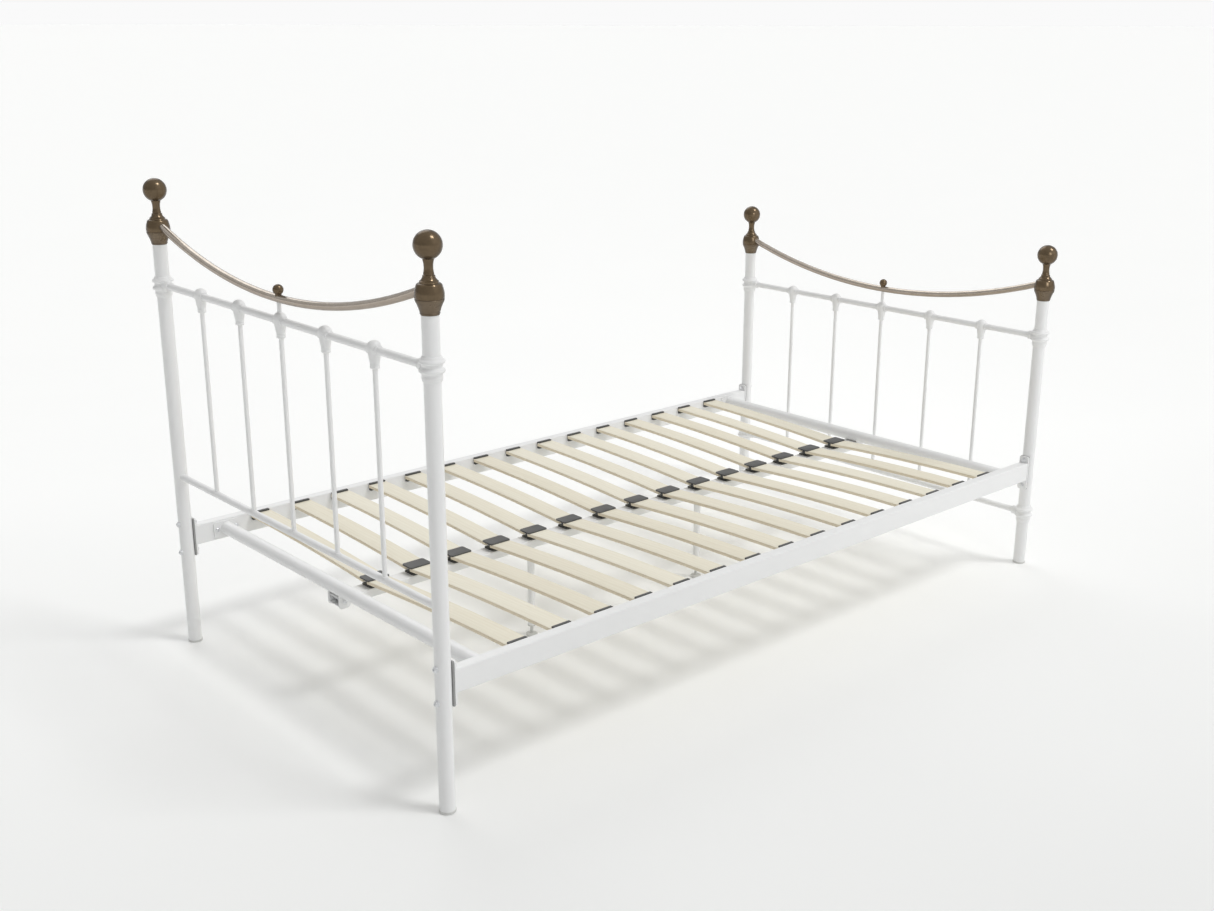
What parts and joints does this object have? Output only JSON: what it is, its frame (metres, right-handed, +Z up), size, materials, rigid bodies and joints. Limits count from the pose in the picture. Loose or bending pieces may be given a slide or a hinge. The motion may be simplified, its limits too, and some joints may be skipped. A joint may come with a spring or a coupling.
{
  "type": "metal bedstead with sprung slats",
  "caption": "Full-length metal bedstead with a tall head end, a lower foot end, ball-topped posts, dipped top rails, spindles and two rows of bowed slats on a centre beam.",
  "frame": {"origin": "on the floor, under the middle of the bed", "axes": "+X from the head end to the foot end, +Y from the front side to the back side, +Z up"},
  "size_m": [2.023, 1.105, 1.12],
  "materials": {
    "white_coat": "white powder coat, satin",
    "dark_bronze": "dark olive-brown bronze, semi-gloss, small sharp highlights",
    "bronze_collar": "dark bronze, a little lighter and more worn",
    "satin_bronze": "satin bronze tube, beige sheen on top",
    "birch": "pale birch laminate, clear matt, browner edges",
    "holder_plastic": "charcoal moulded plastic",
    "strip_plastic": "black moulded plastic",
    "zinc": "zinc-plated steel",
    "pale_plastic": "off-white moulded plastic"
  },
  "bodies": {
    "bedstead": {"head_post_front": "white_coat", "head_post_back": "white_coat", "foot_post_front": "white_coat", "foot_post_back": "white_coat", "post_glides": "pale_plastic", "head_finial_front": "dark_bronze", "head_finial_back": "dark_bronze", "foot_finial_front": "dark_bronze", "foot_finial_back": "dark_bronze", "finial_collars": "bronze_collar", "head_top_rail": "satin_bronze", "foot_top_rail": "satin_bronze", "head_rail_bead": "dark_bronze", "foot_rail_bead": "dark_bronze", "head_upper_bar": "white_coat", "head_lower_bar": "white_coat", "foot_upper_bar": "white_coat", "foot_lower_bar": "white_coat", "head_spindles": "white_coat", "foot_spindles": "white_coat", "head_stem": "white_coat", "foot_stem": "white_coat", "head_knuckles": "white_coat", "foot_knuckles": "white_coat", "head_post_castings": "white_coat", "foot_post_castings": "white_coat", "foot_low_castings": "white_coat", "side_rail_front": "white_coat", "side_rail_back": "white_coat", "rail_plates_front": "white_coat", "rail_plates_back": "white_coat", "plate_strips": "strip_plastic", "rail_bolts": "zinc", "rail_nuts": "zinc", "saddle_washers": "zinc", "head_cross_rail": "white_coat", "foot_cross_rail": "white_coat", "cross_flanges": "white_coat", "flange_screws": "zinc", "centre_beam": "white_coat", "beam_ears": "white_coat", "ear_bolts": "zinc", "ear_nuts": "zinc", "leg_head_side": "white_coat", "leg_foot_side": "white_coat", "leg_inserts": "pale_plastic", "slats_front": "birch", "slats_back": "birch", "side_holders_front": "holder_plastic", "side_holders_back": "holder_plastic", "centre_holders": "holder_plastic"},
    "head_side_foot": {"level_foot_head": "pale_plastic"},
    "foot_side_foot": {"level_foot_foot": "pale_plastic"}
  },
  "joints": [
    {"name": "head_side_foot_screw", "type": "slide", "parent": "bedstead", "child": "head_side_foot", "axis": [0, 0, 1], "range_m": [0, 0.012]},
    {"name": "foot_side_foot_screw", "type": "slide", "parent": "bedstead", "child": "foot_side_foot", "axis": [0, 0, 1], "range_m": [0, 0.012]}
  ]
}
